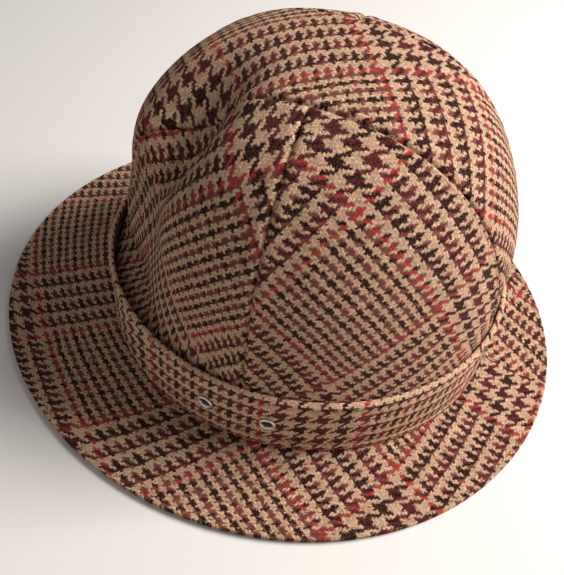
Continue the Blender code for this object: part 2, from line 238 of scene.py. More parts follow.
# %% A mesh object from points, faces and the flat cloth
MERGE_DISTANCE = 0.001 * MM


def close_up(mesh, merge):
    """Merges doubled points where asked, and turns every face outwards."""
    work = bmesh.new()
    work.from_mesh(mesh)
    if merge:
        bmesh.ops.remove_doubles(work, verts=work.verts, dist=MERGE_DISTANCE)
    bmesh.ops.recalc_face_normals(work, faces=work.faces)
    work.to_mesh(mesh)
    work.free()


def show(name, mesh, material):
    """A smooth object at the origin, with its material, linked into the scene."""
    mesh.materials.append(material)
    mesh.shade_smooth()
    piece = bpy.data.objects.new(name, mesh)
    bpy.context.scene.collection.objects.link(piece)
    return piece


def add_mesh(name, points, faces, flat_places, flat_corners, material):
    """A closed mesh object at the origin: faces out, doubles merged, and its cloth map in metres."""
    mesh = bpy.data.meshes.new(name)
    mesh.from_pydata(points, [], faces)
    layer = mesh.uv_layers.new(name="cloth")
    layer.data.foreach_set("uv", flat_places[flat_corners.ravel()].astype(np.float32).ravel())
    close_up(mesh, True)
    return show(name, mesh, material)


def shell(name, outer, inner, flat, material):
    """The outer grid, the inner grid turned over, and walls between them along the four open edges."""
    rows, columns = outer.shape[:2]
    count = rows * columns
    faces, corners = quads(rows, columns, False)
    solid = [faces, faces[:, ::-1] + count]
    drawn = [corners, corners[:, ::-1]]
    first_row, first_column = np.arange(columns), np.arange(rows) * columns
    for line in (first_row, first_row + count - columns, first_column, first_column + columns - 1):
        here, ahead = line[:-1], line[1:]
        solid.append(np.stack([here, ahead, ahead + count, here + count], axis=1))
        drawn.append(np.stack([here, ahead, ahead, here], axis=1))
    points = np.concatenate([outer.reshape(-1, 3), inner.reshape(-1, 3)])
    faces, corners = np.concatenate(solid), np.concatenate(drawn)
    return add_mesh(name, points, faces, flat.reshape(-1, 2), corners, material)


# %% [markdown]
# ## The tweed
# The cloth is a 2/2 twill: every thread passes over two and under two, and each row starts one thread
# further on, which draws the slanting ribs. The colours come from the order of the threads alone. Both
# the lengthwise and the crosswise threads run through the same list: a red pair, a broad part of four
# dark and four light, a red pair, and a fine part of two dark and two light. Where the broad parts
# cross, the twill makes pointed checks, and where the fine parts cross, it makes thin dashed stripes.
# So the material works out which thread is on top at each place, and looks up that thread's colour.


# %% Colours
def linear(red, green, blue):
    """A colour given as a screen shows it, from 0 to 255, as the linear value that Blender wants."""
    value = np.array((red, green, blue)) / 255.0
    low = value / 12.92
    high = ((value + 0.055) / 1.055) ** 2.4
    return (*np.where(value <= 0.04045, low, high).tolist(), 1.0)


YARN_TAN = linear(214, 176, 142)
YARN_BLACK = linear(14, 3, 1)
YARN_MAROON = linear(84, 20, 30)
YARN_MAUVE = linear(124, 66, 56)
YARN_RED = linear(176, 54, 52)
FLUFF = linear(150, 98, 84)
THREAD_DARK, THREAD_LIGHT = linear(38, 26, 24), linear(70, 48, 42)
CANVAS_CREAM, CANVAS_SHADE = linear(196, 184, 158), linear(150, 138, 112)
SATIN_BROWN, SATIN_SHADE = linear(70, 50, 40), linear(46, 32, 26)
SWEATBAND_BROWN, SWEATBAND_SHADE = linear(52, 40, 36), linear(34, 26, 24)
NICKEL, NICKEL_WORN = linear(250, 248, 242), linear(206, 200, 190)


# %% A short way to write shader nodes
class Recipe:
    """A material under construction. Each method adds one node and returns its output socket."""

    def __init__(self, name):
        self.material = bpy.data.materials.new(name)
        self.material.use_nodes = True
        self.tree = self.material.node_tree
        self.shader = self.tree.nodes["Principled BSDF"]

    def node(self, kind, **settings):
        made = self.tree.nodes.new(kind)
        for key, value in settings.items():
            setattr(made, key, value)
        return made

    def put(self, value, socket):
        """A number, a colour or another socket, put into a socket."""
        if isinstance(value, bpy.types.NodeSocket):
            self.tree.links.new(value, socket)
        else:
            socket.default_value = value

    def math(self, operation, *values):
        made = self.node("ShaderNodeMath", operation=operation)
        for value, socket in zip(values, made.inputs):
            self.put(value, socket)
        return made.outputs[0]

    def add(self, first, second):
        return self.math("ADD", first, second)

    def less(self, first, second):
        return self.math("SUBTRACT", first, second)

    def times(self, first, second):
        return self.math("MULTIPLY", first, second)

    def modulo(self, value, size):
        return self.math("FLOORED_MODULO", value, size)

    def blend(self, share, first, second):
        """Second plus the share of first less second: first where share is 1, second where it is 0."""
        return self.math("MULTIPLY_ADD", self.less(first, second), share, second)

    def dome(self, value):
        """1 less the square of the value: a rounded back between -1 and 1."""
        return self.less(1.0, self.times(value, value))

    def clamp(self, value, low, high):
        made = self.node("ShaderNodeClamp")
        self.put(value, made.inputs["Value"])
        made.inputs["Min"].default_value = low
        made.inputs["Max"].default_value = high
        return made.outputs[0]

    def parts(self, kind, value):
        """The three numbers of a vector or a colour."""
        made = self.node(kind)
        self.put(value, made.inputs[0])
        return made.outputs

    def mix(self, share, first, second):
        made = self.node("ShaderNodeMix", data_type="RGBA")
        self.put(share, made.inputs["Factor"])
        self.put(first, made.inputs[6])
        self.put(second, made.inputs[7])
        return made.outputs[2]

    def scaled(self, vector, factor):
        made = self.node("ShaderNodeVectorMath", operation="SCALE")
        self.put(vector, made.inputs[0])
        self.put(factor, made.inputs["Scale"])
        return made.outputs[0]

    def noise(self, vector, per_metre, detail=2.0):
        made = self.node("ShaderNodeTexNoise")
        self.put(vector, made.inputs["Vector"])
        made.inputs["Scale"].default_value = per_metre
        made.inputs["Detail"].default_value = detail
        return made.outputs["Fac"], made.outputs["Color"]

    def steps(self, position, colours):
        """A colour ramp of equal hard steps."""
        made = self.node("ShaderNodeValToRGB")
        made.color_ramp.interpolation = "CONSTANT"
        stops = made.color_ramp.elements
        while len(stops) < len(colours):
            stops.new(0.5)
        for index, colour in enumerate(colours):
            stops[index].position = index / len(colours)
            stops[index].color = colour
        self.put(position, made.inputs["Fac"])
        return made.outputs["Color"]

    def cloth(self):
        """The place on the flat cloth, in metres."""
        return self.node("ShaderNodeUVMap", uv_map="cloth").outputs["UV"]

    def bump(self, height, distance, strength=1.0):
        made = self.node("ShaderNodeBump")
        made.inputs["Strength"].default_value = strength
        made.inputs["Distance"].default_value = distance
        self.put(height, made.inputs["Height"])
        self.put(made.outputs["Normal"], self.shader.inputs["Normal"])

    def finish(self, roughness, sheen=0.0, metallic=0.0, sheen_tint=(1.0, 1.0, 1.0, 1.0)):
        """Values that are the same all over sit on the shader itself."""
        self.shader.inputs["Roughness"].default_value = roughness
        self.shader.inputs["Metallic"].default_value = metallic
        self.shader.inputs["Sheen Weight"].default_value = sheen
        self.shader.inputs["Sheen Roughness"].default_value = 0.5
        self.shader.inputs["Sheen Tint"].default_value = sheen_tint
        return self.material


# %% The order of the threads
THREAD_PITCH = 1.155 * MM
RED_THREADS = 2
BROAD_THREADS = 36
FINE_THREADS = 48
REPEAT = BROAD_THREADS + FINE_THREADS + 2 * RED_THREADS
BROAD_ORDER = (YARN_TAN, YARN_BLACK, YARN_TAN, YARN_MAROON)
BROAD_GROUP = 16.0
FINE_ORDER = (YARN_TAN, YARN_BLACK, YARN_TAN, YARN_MAUVE)
FINE_GROUP = 8.0
TWILL = 4.0
print("tweed repeats every", round(REPEAT * THREAD_PITCH * 1000), "mm")


def thread_colour(make, thread):
    """The colour of a thread from its number: which part of the repeat, and which group within it.

    The bounds lie half a thread below the first thread of a part, so no rounding can cross them.
    """
    phase = make.modulo(thread, float(REPEAT))
    broad_from = RED_THREADS - 0.5
    broad_to = broad_from + BROAD_THREADS
    fine_from = broad_to + RED_THREADS
    in_broad = make.times(make.math("GREATER_THAN", phase, broad_from), make.math("LESS_THAN", phase, broad_to))
    in_fine = make.math("GREATER_THAN", phase, fine_from)
    in_group = make.modulo(make.less(phase, broad_from), BROAD_GROUP)
    broad = make.steps(make.math("DIVIDE", in_group, BROAD_GROUP), BROAD_ORDER)
    in_group = make.modulo(make.less(phase, fine_from), FINE_GROUP)
    fine = make.steps(make.math("DIVIDE", in_group, FINE_GROUP), FINE_ORDER)
    return make.mix(in_fine, make.mix(in_broad, YARN_RED, broad), fine)


# %% [markdown]
# Wool isn't tidy. A slow noise lets the threads wander, and a fine noise frays their edges. Fluff from
# all the colours lies over them in flecks, and every float is a little lighter or darker at random. The
# gaps between the threads are darkened as painted shade, where each float's rounded back falls away.
# A Bump node lifts each float as a small rounded back.

# %% The tweed material
DRIFT_PER_METRE, DRIFT_THREADS = 170.0, 1.6
FRAY_PER_METRE, FRAY_THREADS = 1700.0, 2.4
FLUFF_PER_METRE, FLUFF_FROM, FLUFF_RISE, FLUFF_MOST = 2100.0, 0.51, 5.0, 0.48
FIBRE_PER_METRE, FIBRE_LEAST, FIBRE_SPAN = 3200.0, 0.25, 1.5
# Painted shade between the threads: the colour is scaled by the first value in the gaps, and rises by the
# second on each float's rounded back.
PAINTED_GAP_SHADE, PAINTED_BACK_LIGHT = 0.42, 0.62
FLOAT_LEAST, FLOAT_SPAN = 0.86, 0.4
ROUND_ACROSS, ROUND_ALONG, ROUND_FRAY = 0.5, 0.6, 0.9
TWEED_RELIEF = 0.45 * MM


def tweed(name, painted_light_gain=1.0):
    """Which thread is on top, its colour from the thread order, and its rounded height.

    Threads u and v are counted across the cloth. The lengthwise thread i is on top of the crosswise
    thread j where i less j, counted in fours, is 0 or 1.
    """
    make = Recipe(name)
    cloth = make.cloth()
    _, drift = make.noise(cloth, DRIFT_PER_METRE)
    _, fray = make.noise(cloth, FRAY_PER_METRE, 4.0)
    place = make.parts("ShaderNodeSeparateXYZ", make.scaled(cloth, 1.0 / THREAD_PITCH))
    drift = make.parts("ShaderNodeSeparateColor", drift)
    fray = make.parts("ShaderNodeSeparateColor", fray)
    u, v = (
        make.add(
            place[axis],
            make.add(
                make.times(make.less(drift[axis], 0.5), DRIFT_THREADS),
                make.times(make.less(fray[axis], 0.5), FRAY_THREADS),
            ),
        )
        for axis in (0, 1)
    )
    i = make.math("FLOOR", u)
    j = make.math("FLOOR", v)
    lengthwise = make.math("LESS_THAN", make.modulo(make.less(i, j), TWILL), 1.5)
    colour = thread_colour(make, make.blend(lengthwise, i, j))
    fluff, _ = make.noise(cloth, FLUFF_PER_METRE, 4.0)
    fluff = make.clamp(make.times(make.less(fluff, FLUFF_FROM), FLUFF_RISE), 0.0, FLUFF_MOST)
    colour = make.mix(fluff, colour, FLUFF)

    across = make.blend(lengthwise, make.math("FRACT", u), make.math("FRACT", v))
    over_warp = make.modulo(make.add(make.less(i, v), 1.0), TWILL)
    over_weft = make.less(make.modulo(make.less(u, j), TWILL), 2.0)
    along = make.blend(lengthwise, over_warp, over_weft)
    back = make.add(
        make.times(make.dome(make.math("MULTIPLY_ADD", across, 2.0, -1.0)), ROUND_ACROSS),
        make.times(make.dome(make.less(along, 1.0)), ROUND_ALONG),
    )
    float_number = make.node("ShaderNodeCombineXYZ")
    make.put(i, float_number.inputs[0])
    make.put(j, float_number.inputs[1])
    own = make.node("ShaderNodeTexWhiteNoise", noise_dimensions="3D")
    make.put(float_number.outputs[0], own.inputs["Vector"])
    # Each float's own random tone, times the gain: a gain above 1 paints extra light over this whole copy of
    # the tweed.
    own_light = make.math(
        "MULTIPLY_ADD", own.outputs["Value"], FLOAT_SPAN * painted_light_gain, FLOAT_LEAST * painted_light_gain
    )
    fibre, _ = make.noise(cloth, FIBRE_PER_METRE, 2.0)
    light = make.times(own_light, make.math("MULTIPLY_ADD", fibre, FIBRE_SPAN, FIBRE_LEAST))
    # Painted shade: the colour darkens where each float's rounded back falls into the gaps between threads.
    light = make.times(light, make.math("MULTIPLY_ADD", back, PAINTED_BACK_LIGHT, PAINTED_GAP_SHADE))
    make.put(make.scaled(colour, light), make.shader.inputs["Base Color"])
    make.shader.inputs["Specular IOR Level"].default_value = 0.12
    make.bump(make.add(back, make.times(fray[2], ROUND_FRAY)), TWEED_RELIEF, 0.9)
    return make.finish(0.95, sheen=0.07, sheen_tint=linear(226, 166, 140))


tweed_crown = tweed("tweed_crown")
tweed_brim = tweed("tweed_brim")
# The band's tweed is the same cloth made 1.2 times brighter: painted light, a lit copy of the tweed.
tweed_band = tweed("tweed_band", 1.2)

# %% [markdown]
# ## The other finishes
# The hidden cloths and the metal are simpler. Canvas is a ripple in both directions, satin is noise
# stretched along its floats, ribbed ribbon is a ripple in one direction, and the sewing thread and the
# nickel vary a little with noise. The cloths read the flat map, and the others read Object coordinates.


# %% Canvas, satin, ribbed cotton, sewing thread and metal
CANVAS_PITCH = 0.6 * MM
RIB_PITCH = 1.0 * MM


def canvas():
    """A plain weave: the product of two sine ripples, a thread apart."""
    make = Recipe("canvas")
    place = make.parts("ShaderNodeSeparateXYZ", make.scaled(make.cloth(), math.pi / CANVAS_PITCH))
    ripple = make.times(make.math("SINE", place[0]), make.math("SINE", place[1]))
    fleck, _ = make.noise(make.cloth(), 900.0, 3.0)
    make.put(make.mix(fleck, CANVAS_CREAM, CANVAS_SHADE), make.shader.inputs["Base Color"])
    make.bump(ripple, 0.1 * MM)
    return make.finish(0.9)


def satin():
    """Long floats in one direction: noise stretched along the cloth, with a soft gloss."""
    make = Recipe("lining_satin")
    stretch = make.node("ShaderNodeVectorMath", operation="MULTIPLY")
    make.put(make.cloth(), stretch.inputs[0])
    stretch.inputs[1].default_value = (1.0, 0.12, 1.0)
    streak, _ = make.noise(stretch.outputs[0], 4200.0, 2.0)
    make.put(make.mix(streak, SATIN_BROWN, SATIN_SHADE), make.shader.inputs["Base Color"])
    make.bump(streak, 0.05 * MM)
    return make.finish(0.38, sheen=0.2)


def ribbed_cotton():
    """Upright ribs 1 mm apart, as on petersham ribbon."""
    make = Recipe("sweatband_cotton")
    place = make.parts("ShaderNodeSeparateXYZ", make.scaled(make.cloth(), 2.0 * math.pi / RIB_PITCH))
    rib = make.math("SINE", place[0])
    fleck, _ = make.noise(make.cloth(), 1500.0, 3.0)
    make.put(make.mix(fleck, SWEATBAND_BROWN, SWEATBAND_SHADE), make.shader.inputs["Base Color"])
    make.bump(rib, 0.15 * MM)
    return make.finish(0.85, sheen=0.15)


def sewing_thread():
    """Dark thread that a fine noise lightens in places."""
    make = Recipe("sewing_thread")
    place = make.node("ShaderNodeTexCoord").outputs["Object"]
    twist, _ = make.noise(place, 2500.0)
    make.put(make.mix(twist, THREAD_DARK, THREAD_LIGHT), make.shader.inputs["Base Color"])
    return make.finish(0.7, sheen=0.1)


def eyelet_metal():
    """Nickel plate with fine wear, darker in the worn spots."""
    make = Recipe("eyelet_metal")
    place = make.node("ShaderNodeTexCoord").outputs["Object"]
    wear, _ = make.noise(place, 700.0, 5.0)
    make.put(make.mix(wear, NICKEL, NICKEL_WORN), make.shader.inputs["Base Color"])
    make.bump(wear, 0.03 * MM)
    return make.finish(0.34, metallic=0.9)


canvas_cloth = canvas()
satin_cloth = satin()
ribbed_cloth = ribbed_cotton()
thread_dark = sewing_thread()
nickel = eyelet_metal()


# %% [markdown]
# ## Laying the crown's cloth flat
# Each panel was cut from flat cloth, so its weave runs straight within the panel and changes direction
# at every seam. To find where a point of the crown lies on the flat panel, measure from the panel's
# middle: the distance over the crown, and the direction it leaves in. That keeps the threads nearly
# straight and evenly spaced. The grain then turns the panel on the cloth, and a shift slides it.

# %% From the crown to flat cloth
SPHERE_RADIUS = (CROWN_HALF_WIDTH + CROWN_HALF_LENGTH) / 2
SPHERE_Z = CROWN_BASE_Z + CROWN_RISE - SPHERE_RADIUS


def lay_flat(points, middle, turn, shift):
    """Place on the flat cloth, in metres.

    The crown is taken as a ball on a tube. Distance is the angle from the panel's middle times the
    ball's radius, and direction is kept. Middle is (angle round, angle up), turn is the grain.
    """
    level = points[..., :2] - np.array((0.0, CROWN_CENTRE_Y))
    above = points[..., 2] - SPHERE_Z
    up = np.where(above < 0.0, above / SPHERE_RADIUS, np.arctan2(above, np.linalg.norm(level, axis=-1)))
    round_ = np.arctan2(level[..., 1], level[..., 0])
    way = np.stack([np.cos(up) * np.cos(round_), np.cos(up) * np.sin(round_), np.sin(up)], axis=-1)
    mid_round, mid_up = (math.radians(angle) for angle in middle)
    east = np.array((-math.sin(mid_round), math.cos(mid_round), 0.0))
    centre = np.array(
        (math.cos(mid_up) * math.cos(mid_round), math.cos(mid_up) * math.sin(mid_round), math.sin(mid_up))
    )
    north = np.cross(centre, east)
    x, y, z = way @ east, way @ north, way @ centre
    far = np.arccos(np.clip(z, -1.0, 1.0)) * SPHERE_RADIUS / np.maximum(np.hypot(x, y), 1e-9)
    angle = math.radians(turn)
    u = far * (x * math.cos(angle) + y * math.sin(angle)) + shift[0] * THREAD_PITCH
    v = far * (y * math.cos(angle) - x * math.sin(angle)) + shift[1] * THREAD_PITCH
    return np.stack([u, v], axis=-1)


# %% Attaching a cloth
def cloth_piece(piece, nodes, cut=None, turn=0.0):
    """Attaches a finished cloth to the root body and hides the CAD nodes that it stands for.

    The flat size it was cut to is worked out from the flat map, square to the panel: turn is how far the panel
    is turned on the cloth, in degrees. Or the cut is given as (width, length). The size is not kept.
    """
    mesh = piece.data
    flat = np.empty(len(mesh.loops) * 2, np.float32)
    mesh.uv_layers["cloth"].data.foreach_get("uv", flat)
    flat = flat.reshape(-1, 2)
    mesh.calc_loop_triangles()
    corners = np.empty(len(mesh.loop_triangles) * 3, np.int32)
    mesh.loop_triangles.foreach_get("loops", corners)
    straight, slant = math.cos(math.radians(turn)), math.sin(math.radians(turn))
    squared = np.stack([flat @ (straight, -slant), flat @ (slant, straight)], axis=-1)
    width, length = (float(v) for v in np.ptp(squared, axis=0))
    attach(piece, "root")
    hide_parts(*nodes)
    width, length = cut or (width, length)
    return piece


# %% [markdown]
# ## The crown's panels
# The crown is five pieces of tweed: a strip from front to back, widest on top, and two panels on each
# side that meet at an upright seam. At a seam the cloth turns in, so its edge sinks into a valley, and
# the cloth beside it swells a little over the folded allowance.

# %% Rays of the strip and of a side panel
SEAM_GAP = 0.04 * MM
FINE_STEPS = 400


def strip_share(angles):
    """Half the strip's width as a share of the crown's: widest on top, narrow at both ends."""
    at_end = np.where(angles < 0.0, STRIP_SHARE_FRONT, STRIP_SHARE_BACK)
    return at_end + (STRIP_SHARE_TOP - at_end) * np.cos(angles)


def edge_crowded(count):
    """Steps from 0 to 1 that crowd towards both ends, as half a cosine wave does."""
    return (1.0 - np.cos(np.linspace(0.0, math.pi, count))) / 2.0


def strip_rays(rows, columns, gap=GAP):
    """Rays of the strip: the angle from front to back, by the share of its width from side to side."""
    angles = np.linspace(-math.pi / 2, math.pi / 2, rows)[:, None]
    across = edge_crowded(columns)[None, :] * 2.0 - 1.0
    share = strip_share(angles) - gap / 2 / CROWN_HALF_WIDTH
    rays = np.stack([share * across, np.sin(angles) + 0.0 * across, np.cos(angles) + 0.0 * across], axis=-1)
    rays[[0, -1], :, 2] = 0.0
    return rays


def side_rays(side, end, rows, columns, gap=GAP):
    """Rays of a side panel: columns stand on the base, from the side seam to the strip's end."""
    fine = np.linspace(0.0, math.pi / 2, FINE_STEPS)
    track = np.arctan2(np.sin(fine), strip_share(end * fine)) + 1.0 - np.cos(fine)
    angles = np.interp(edge_crowded(columns) * track[-1], track, fine)
    share = strip_share(end * angles) + gap / 2 / CROWN_HALF_WIDTH
    turn = np.arctan2(np.sin(angles), share)
    turn[0] = gap / 2 / CROWN_HALF_WIDTH
    level = np.hypot(share, np.sin(angles))
    top = np.cos(angles) * (np.cos(angles) ** DOME_POWER + level**DOME_POWER) ** (-1.0 / DOME_POWER)
    top[-1] = 0.0
    height = top[None, :] * np.sin(np.linspace(0.0, math.pi / 2, rows))[:, None]
    radius = (1.0 - height**DOME_POWER) ** (1.0 / DOME_POWER)
    return np.stack([side * radius * np.cos(turn), end * radius * np.sin(turn), height], axis=-1)


# %% Seams sink and swell
SEAM_DIP = 1.35 * MM
SEAM_DIP_REACH = 0.8 * MM
SEAM_SWELL = 0.5 * MM
SEAM_SWELL_AT = 3.6 * MM
SEAM_SWELL_REACH = 2.5 * MM
PUCKER = 0.16 * MM
PUCKER_WAVELENGTH = 7 * MM
PUCKER_REACH = 4 * MM


def seam_relief(points, from_seam):
    """Height over the plain surface at a distance from the nearest seam.

    A valley at the seam, a swelling beside it, and small puckers that fade within a few millimetres.
    """
    pucker = waves(points, PUCKER_WAVELENGTH, 11) * bell(from_seam / PUCKER_REACH) * PUCKER
    valley = SEAM_DIP * bell(from_seam / SEAM_DIP_REACH)
    swell = SEAM_SWELL * bell((from_seam - SEAM_SWELL_AT) / SEAM_SWELL_REACH)
    return swell - valley + pucker


RAY_STEP = 0.004
INNER_SHARE = 0.4


def crown_normals(rays):
    """Normals of the dented crown: the cross product of what it does over small steps of the ray.

    The two steps are square to the ray, so they work at the panels' corners as well.
    """
    rays = unit(rays)
    helper = np.where(np.abs(rays[..., 2:]) < 0.7, (0.0, 0.0, 1.0), (1.0, 0.0, 0.0))
    first = unit(np.cross(rays, helper))
    second = np.cross(rays, first)
    steps = (RAY_STEP * first, RAY_STEP * second)
    changes = [crown_surface(rays + step) - crown_surface(rays - step) for step in steps]
    return unit(np.cross(*changes))


def crown_cloth(name, rays, seam_distance, depth, thickness, relief, panel, material):
    """One crown cloth between two depths under the surface, its outer face shaped by its seams.

    Its weave is laid out from the undented dome, because a dent bends the cloth and doesn't cut it anew.
    """
    points = crown_surface(rays)
    normals = crown_normals(rays)
    lift = relief(points, seam_distance(points))
    outer = points - normals * (depth - lift)[..., None]
    inner = points - normals * (depth + thickness - np.minimum(lift, 0.0) * INNER_SHARE)[..., None]
    return shell(name, outer, inner, lay_flat(dome(rays), *GRAIN[panel]), material)


def strip_seam_distance(points):
    """Distance across the strip to its nearer edge."""
    across = walk(points, 1)
    return np.minimum(across, across[:, -1:] - across)


def side_seam_distance(points):
    """Distance to the strip or to the upright side seam, whichever is nearer."""
    up = walk(points, 0)
    return np.minimum(up[-1:] - up, walk(points, 1))


# %% Grain of each panel: its middle, how it is turned on the cloth, and where it lies on the check
GRAIN = {
    "strip": ((0.0, 90.0), 33.8, (75.4, 13.4)),
    "front_left": ((-20.0, 42.0), 45.5, (76.8, 86.4)),
    "back_left": ((42.0, 42.0), -56.2, (53.1, 7.3)),
    "front_right": ((-160.0, 42.0), -45.5, (12.0, 40.0)),
    "back_right": ((138.0, 42.0), 56.2, (30.0, 5.0)),
}
ENDS = (("front", -1), ("back", 1))
PLACES = [(f"{end}_{side}", x, y) for side, x in (("left", 1), ("right", -1)) for end, y in ENDS]


def panel_turn(panel):
    return GRAIN[panel][1]


# %% The strip and the four side panels
STRIP_GRID = (220, 60)
SIDE_GRID = (100, 110)
crown_strip = crown_cloth(
    "centre_strip", strip_rays(*STRIP_GRID, SEAM_GAP), strip_seam_distance, 0.0, TWEED, seam_relief,
    "strip", tweed_crown,
)
cloth_piece(crown_strip, ["crown_centre_strip"], turn=panel_turn("strip"))
crown_sides = {}
for place, side, end in PLACES:
    crown_sides[place] = crown_cloth(
        "side_" + place, side_rays(side, end, *SIDE_GRID, SEAM_GAP), side_seam_distance, 0.0, TWEED,
        seam_relief, place, tweed_crown,
    )

# %% [markdown]
# ## The brim
# The brim is two rings of tweed with canvas between them, sewn together by rows of topstitching. Each
# row pulls the cloth down into a groove, so the brim is faintly quilted. The edge is a fold: the upper
# cloth rolls over the edge, and the lower cloth tucks in behind it.

# %% The brim as a function of angle and distance from its edge
BRIM_EGG = 0.026
BRIM_FLARE = 1.3
BRIM_REST = 4 * MM
BRIM_SEAM = 4.5 * MM
BRIM_EDGE_ROUND = 0.9 * MM
BRIM_CLOTH_BOTTOM = 2 * GAP + TWEED + CANVAS
BRIM_STACK = BRIM_CLOTH_BOTTOM + TWEED
BRIM_INNER_DEPTH = SWEATBAND_DEPTH - GAP
STITCH_ROWS = (2.6 * MM, 12.5 * MM, 23.5 * MM, 34.5 * MM)
STITCH_GROOVE = 0.45 * MM
STITCH_GROOVE_WIDTH = 1.5 * MM
BRIM_BEAT = 0.12 * MM
BRIM_BEAT_LENGTH = 0.11
BRIM_FAR_IN = 66 * MM


def head_oval(angle, depth, height=0.0):
    """The undented crown's outline at a height above its base, drawn in by a depth."""
    share = np.maximum(height, 0.0) / CROWN_RISE
    radius = (1.0 - share**DOME_POWER) ** (1.0 / DOME_POWER)
    x = (CROWN_HALF_WIDTH * radius - depth) * np.cos(angle)
    y = CROWN_CENTRE_Y + CROWN_LEAN * share + (CROWN_HALF_LENGTH * radius - depth) * np.sin(angle)
    return np.stack(np.broadcast_arrays(x, y), axis=-1)


def brim_outline(angle):
    """An ellipse whose front half is a little narrower."""
    narrowing = 1.0 + BRIM_EGG * np.sin(angle)
    return np.stack([BRIM_HALF_WIDTH * narrowing * np.cos(angle), BRIM_HALF_LENGTH * np.sin(angle)], axis=-1)


def brim_points(angle, from_edge, above):
    """Points of the brim at a distance in from its edge, a height above its lower face.

    The lower face is flat for BRIM_REST, then climbs as the share of the way in to the power BRIM_FLARE.
    """
    outer = brim_outline(angle)
    inner = head_oval(angle, BRIM_INNER_DEPTH)
    width = np.linalg.norm(outer - inner, axis=-1)
    distance = np.minimum(from_edge, width)
    level = outer + (inner - outer) * (distance / width)[..., None]
    climb = np.clip((distance - BRIM_REST) / (width - BRIM_REST), 0.0, 1.0)
    return np.concatenate([level, (BRIM_RISE * climb**BRIM_FLARE + above)[..., None]], axis=-1)


def brim_relief(angle, from_edge):
    """Grooves at the stitch rows, faint swellings between them, and a slow wave round the brim."""
    groove = sum(bell((from_edge - row) / STITCH_GROOVE_WIDTH) for row in STITCH_ROWS) * STITCH_GROOVE
    beat = waves(np.stack([np.cos(angle), np.sin(angle)], axis=-1), BRIM_BEAT_LENGTH, 21) * BRIM_BEAT
    return beat - groove


# %% Flat cloth of the brim
BRIM_CONE = 0.667
BRIM_MEAN_RADIUS = 118 * MM
BRIM_GRAIN = math.radians(-56.4)
BRIM_SHIFT = (42.3, 21.3)
BRIM_EDGE_BEYOND = 25 * MM


def lay_brim_flat(angle, from_edge):
    """The brim cut as part of a ring: the angle shrinks by BRIM_CONE while the radius grows to match."""
    radius = BRIM_MEAN_RADIUS / BRIM_CONE + BRIM_EDGE_BEYOND - from_edge
    turned = angle * BRIM_CONE + BRIM_GRAIN
    u = radius * np.cos(turned) + BRIM_SHIFT[0] * THREAD_PITCH
    v = radius * np.sin(turned) + BRIM_SHIFT[1] * THREAD_PITCH
    return np.stack([u, v], axis=-1)


# %% The ring maker
RING_COLUMNS = 420
ring_turn = np.linspace(-1.5 * math.pi, math.pi / 2, RING_COLUMNS + 1)


def ring_piece(name, profile_points, profile_flat, material):
    """A closed ring: rows go round its profile, columns go round the head, and both close up.

    The columns start at the back of the hat, where the flat cloth is cut. The flat map has one row
    more than the profile, for the faces that join its last point to its first.
    """
    angle = ring_turn[None, :]
    points = profile_points(angle)[:, :-1]
    flat = profile_flat(angle)
    rows, columns = points.shape[:2]
    faces, corners = quads(rows + 1, columns, True)
    faces = faces % (rows * columns)
    return add_mesh(name, points.reshape(-1, 3), faces, flat.reshape(-1, 2), corners, material)


# %% Upper brim cloth
def brim_top_profile():
    """(distance in from the edge, height above the brim's lower face, how much it takes the relief)."""
    inward = np.linspace(BRIM_EDGE_ROUND, BRIM_FAR_IN, 96)
    face = [(d, BRIM_STACK, 1.0) for d in inward]
    under = [(d, BRIM_CLOTH_BOTTOM, 0.0) for d in np.linspace(BRIM_FAR_IN, BRIM_SEAM + GAP, 16)]
    turn = np.linspace(0.0, math.pi, 9)[1:-1]
    middle = (BRIM_STACK + TWEED + GAP) / 2
    half = (BRIM_STACK - TWEED - GAP) / 2
    lip = [(BRIM_SEAM, TWEED + GAP, 0.0), (BRIM_EDGE_ROUND * 1.6, TWEED + GAP, 0.0)]
    lip += [(BRIM_EDGE_ROUND * (1.0 - math.sin(t)), middle - half * math.cos(t), 0.0) for t in turn]
    return np.array(lip + face + under)


def brim_piece(name, profile, material):
    """A ring of the brim from its profile. Rows that take the relief are lifted by it."""
    distance, above, takes = (profile[:, k, None] for k in range(3))

    def points(angle):
        relief = brim_relief(angle + 0.0 * distance, distance + 0.0 * angle) * takes
        return brim_points(angle + 0.0 * distance, distance + 0.0 * angle, above + relief)

    closed = np.concatenate([distance, distance[:1]])
    return ring_piece(name, points, lambda angle: lay_brim_flat(angle + 0.0 * closed, closed), material)


brim_top = brim_piece("brim_upper_cloth", brim_top_profile(), tweed_brim)
BRIM_CUT = (2 * BRIM_HALF_WIDTH, 2 * BRIM_HALF_LENGTH)
cloth_piece(brim_top, ["brim_top"], cut=BRIM_CUT)


# %% Lower brim cloth and the canvas between
CORNER = 0.25 * MM


def flat_ring_profile(start, bottom, top):
    """A flat ring with rounded corners: along its lower face, then back along its upper face."""
    inward = np.concatenate([[start], np.linspace(start + 0.4 * MM, BRIM_FAR_IN, 80)])
    lower = [(d, bottom + (CORNER if d == start else 0.0), 0.0) for d in inward]
    upper = [(d, top - (CORNER if d == start else 0.0), 0.0) for d in inward[::-4]]
    return np.array(lower + upper)


brim_under = brim_piece("brim_lower_cloth", flat_ring_profile(0.3 * MM, 0.0, TWEED), tweed_brim)
cloth_piece(brim_under, ["brim_under"], cut=BRIM_CUT)
canvas_profile = flat_ring_profile(BRIM_SEAM + 2 * GAP, TWEED + GAP, TWEED + GAP + CANVAS)[::2]
brim_canvas = brim_piece("brim_canvas", canvas_profile, canvas_cloth)
cloth_piece(brim_canvas, ["brim_interlining"], cut=BRIM_CUT)

